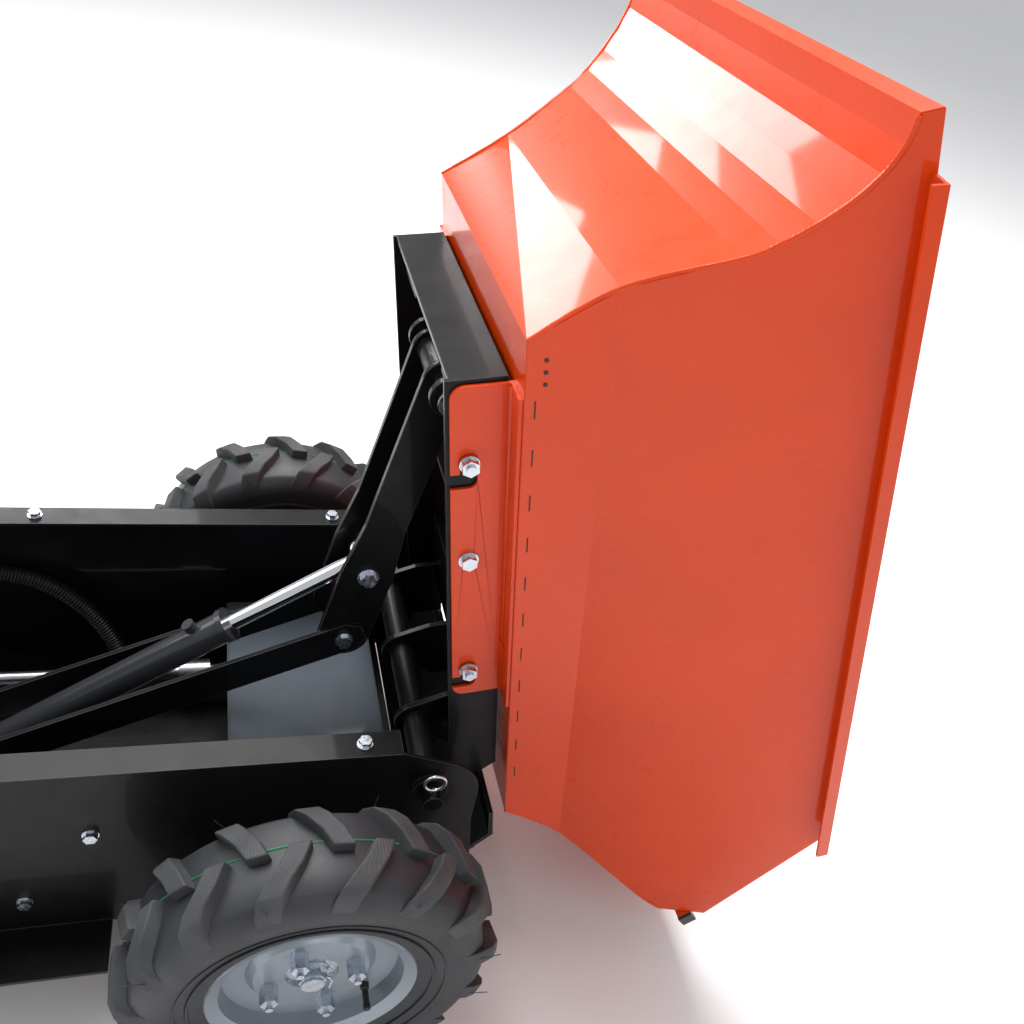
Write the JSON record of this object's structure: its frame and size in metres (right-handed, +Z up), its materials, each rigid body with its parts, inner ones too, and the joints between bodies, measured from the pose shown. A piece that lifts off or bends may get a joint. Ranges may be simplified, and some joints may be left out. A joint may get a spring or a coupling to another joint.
{
  "type": "power wheelbarrow",
  "caption": "Engine-driven walk-behind wheelbarrow with a hydraulic tipping steel tub, drive wheels in front, swivel casters behind and handlebars; shown with its tub dumped.",
  "frame": {"origin": "on the ground below the middle of the front axle, midway between the drive wheels", "axes": "+X forward, the way the tub dumps; +Y to the machine's left; +Z up"},
  "size_m": [1.9566, 0.79, 1.1302],
  "materials": {
    "tub_orange": "gloss powder coat",
    "frame_black": "satin powder coat",
    "zinc": "bright zinc plate",
    "case_grey": "satin paint",
    "shaft_steel": "turned steel",
    "rod_chrome": "hard chrome",
    "engine_cast": "painted casting",
    "head_aluminium": "cast",
    "engine_plastic": "moulded",
    "muffler_steel": "heat-dulled steel",
    "belt_rubber": "belt rubber",
    "hose_rubber": "corrugated",
    "grip_rubber": "moulded grip",
    "tyre_rubber": "tyre rubber",
    "rim_silver": "silver paint",
    "cap_plastic": "end cap",
    "caster_zinc": "zinc plate"
  },
  "bodies": {
    "chassis": {"side_panel_left": "frame_black", "side_panel_right": "frame_black", "cross_plates": "frame_black", "engine_deck": "frame_black", "link_bracket": "frame_black", "chassis_bolts": "zinc", "gear_case": "case_grey", "transmission": "case_grey", "pivot_shaft": "frame_black", "lynch_pins": "zinc", "engine_block": "engine_cast", "cylinder_head": "head_aluminium", "fan_housing": "engine_plastic", "fuel_tank": "engine_plastic", "muffler": "muffler_steel", "air_cleaner": "engine_plastic", "belt_guard": "frame_black", "drive_belt": "belt_rubber", "hydraulic_pump": "head_aluminium", "suction_hose": "hose_rubber", "cable_conduit": "hose_rubber", "handlebar_left": "frame_black", "handlebar_right": "frame_black", "bar_bridge": "frame_black", "hand_grips": "grip_rubber", "valve_block": "case_grey", "caster_plates": "frame_black"},
    "prop_shaft": {"prop_shaft": "shaft_steel"},
    "tub": {"tub": "tub_orange", "lip_tube": "tub_orange", "lip_tube_caps": "cap_plastic", "mount_plate_left": "tub_orange", "mount_plate_right": "tub_orange", "mount_bolts": "zinc", "tilt_frame": "frame_black", "spacer_tubes": "frame_black"},
    "tilt_lever": {"tilt_lever": "frame_black", "lever_pins": "zinc"},
    "lift_arms": {"lift_arms": "frame_black"},
    "cylinder_rod": {"cylinder_rod": "rod_chrome"},
    "cylinder_barrel": {"cylinder_barrel": "frame_black"},
    "engine_pulley": {"engine_pulley": "shaft_steel"},
    "gearbox_pulley": {"gearbox_pulley": "shaft_steel"},
    "recoil_handle": {"recoil_handle": "cap_plastic"},
    "fuel_cap": {"fuel_cap": "cap_plastic"},
    "drive_lever": {"drive_lever": "frame_black"},
    "brake_lever": {"brake_lever": "frame_black"},
    "throttle_lever": {"throttle_lever": "cap_plastic"},
    "gear_lever": {"gear_lever": "cap_plastic"},
    "dump_lever": {"dump_lever": "cap_plastic"},
    "wheel_left": {"front_tyre_left": "tyre_rubber", "front_rim_left": "rim_silver", "wheel_hub_left": "zinc"},
    "caster_fork_left": {"caster_fork_left": "caster_zinc"},
    "caster_wheel_left": {"caster_wheel_left": "tyre_rubber"},
    "wheel_right": {"front_tyre_right": "tyre_rubber", "front_rim_right": "rim_silver", "wheel_hub_right": "zinc"},
    "caster_fork_right": {"caster_fork_right": "caster_zinc"},
    "caster_wheel_right": {"caster_wheel_right": "tyre_rubber"}
  },
  "joints": [
    {"name": "tub_tilt", "type": "hinge", "parent": "chassis", "child": "tub", "pos_m": [0.137, 0, 0.321], "axis": [0, 1, 0], "range_deg": [-80.65, 0]},
    {"name": "lever_turn", "type": "hinge", "parent": "tub", "child": "tilt_lever", "pos_m": [0.12387, 0, 0.75159], "axis": [0, 1, 0], "range_deg": [-11.5, 0]},
    {"name": "arm_turn", "type": "hinge", "parent": "tilt_lever", "child": "lift_arms", "pos_m": [0.05, 0, 0.388], "axis": [0, 1, 0], "range_deg": [0, 99.78]},
    {"name": "rod_turn", "type": "hinge", "parent": "tilt_lever", "child": "cylinder_rod", "pos_m": [0.071, 0, 0.484], "axis": [0, 1, 0], "range_deg": [0, 100.56]},
    {"name": "barrel_slide", "type": "slide", "parent": "cylinder_rod", "child": "cylinder_barrel", "axis": [-0.8197, 0, -0.5727], "range_m": [-0.15546, 0]},
    {"name": "engine_spin", "type": "hinge", "parent": "chassis", "child": "engine_pulley", "pos_m": [-0.822, 0.17, 0.412], "axis": [0, 1, 0], "continuous": true},
    {"name": "gearbox_spin", "type": "hinge", "parent": "chassis", "child": "gearbox_pulley", "pos_m": [-0.543, 0.17, 0.205], "axis": [0, 1, 0], "continuous": true},
    {"name": "prop_spin", "type": "hinge", "parent": "chassis", "child": "prop_shaft", "pos_m": [-0.3, 0.11, 0.176], "axis": [1, 0, 0], "continuous": true},
    {"name": "starter_pull", "type": "slide", "parent": "chassis", "child": "recoil_handle", "axis": [-1, 0, 0], "range_m": [0, 0.2], "stiffness_N_per_m": 15},
    {"name": "cap_turn", "type": "hinge", "parent": "chassis", "child": "fuel_cap", "pos_m": [-0.842, 0, 0.734], "axis": [0, 0, 1], "range_deg": [0, 90]},
    {"name": "drive_squeeze", "type": "hinge", "parent": "chassis", "child": "drive_lever", "pos_m": [-1.18998, 0.238, 0.95108], "axis": [0, 1, 0], "range_deg": [-14, 0], "stiffness_Nm_per_rad": 4, "springref_deg": 11.46},
    {"name": "brake_squeeze", "type": "hinge", "parent": "chassis", "child": "brake_lever", "pos_m": [-1.18998, -0.238, 0.95108], "axis": [0, 1, 0], "range_deg": [-14, 0], "stiffness_Nm_per_rad": 4, "springref_deg": 11.46},
    {"name": "throttle_turn", "type": "hinge", "parent": "chassis", "child": "throttle_lever", "pos_m": [-1.1595, 0.215, 0.89885], "axis": [0, 1, 0], "range_deg": [-40, 40]},
    {"name": "gear_shift", "type": "hinge", "parent": "chassis", "child": "gear_lever", "pos_m": [-1.154, 0.11, 0.87], "axis": [0, 1, 0], "range_deg": [-18, 18]},
    {"name": "dump_push", "type": "hinge", "parent": "chassis", "child": "dump_lever", "pos_m": [-1.154, -0.11, 0.87], "axis": [0, 1, 0], "range_deg": [-15, 15], "stiffness_Nm_per_rad": 8},
    {"name": "wheel_left_spin", "type": "hinge", "parent": "chassis", "child": "wheel_left", "pos_m": [0, 0.339, 0.205], "axis": [0, 1, 0], "continuous": true},
    {"name": "caster_left_swivel", "type": "hinge", "parent": "chassis", "child": "caster_fork_left", "pos_m": [-0.88, 0.168, 0.25], "axis": [0, 0, 1], "continuous": true},
    {"name": "caster_left_roll", "type": "hinge", "parent": "caster_fork_left", "child": "caster_wheel_left", "pos_m": [-0.922, 0.168, 0.1], "axis": [0, 1, 0], "continuous": true},
    {"name": "wheel_right_spin", "type": "hinge", "parent": "chassis", "child": "wheel_right", "pos_m": [0, -0.339, 0.205], "axis": [0, 1, 0], "continuous": true},
    {"name": "caster_right_swivel", "type": "hinge", "parent": "chassis", "child": "caster_fork_right", "pos_m": [-0.88, -0.168, 0.25], "axis": [0, 0, 1], "continuous": true},
    {"name": "caster_right_roll", "type": "hinge", "parent": "caster_fork_right", "child": "caster_wheel_right", "pos_m": [-0.922, -0.168, 0.1], "axis": [0, 1, 0], "continuous": true}
  ],
  "couplings": [
    {"joint": "lever_turn", "follows": "tub_tilt", "ratio": 0.1424},
    {"joint": "arm_turn", "follows": "tub_tilt", "ratio": -1.2359},
    {"joint": "rod_turn", "follows": "tub_tilt", "ratio": -1.2456},
    {"joint": "barrel_slide", "follows": "tub_tilt", "m_per_rad": 0.11034},
    {"joint": "gearbox_spin", "follows": "engine_spin", "ratio": 0.6},
    {"joint": "prop_spin", "follows": "engine_spin", "ratio": 0.15}
  ]
}
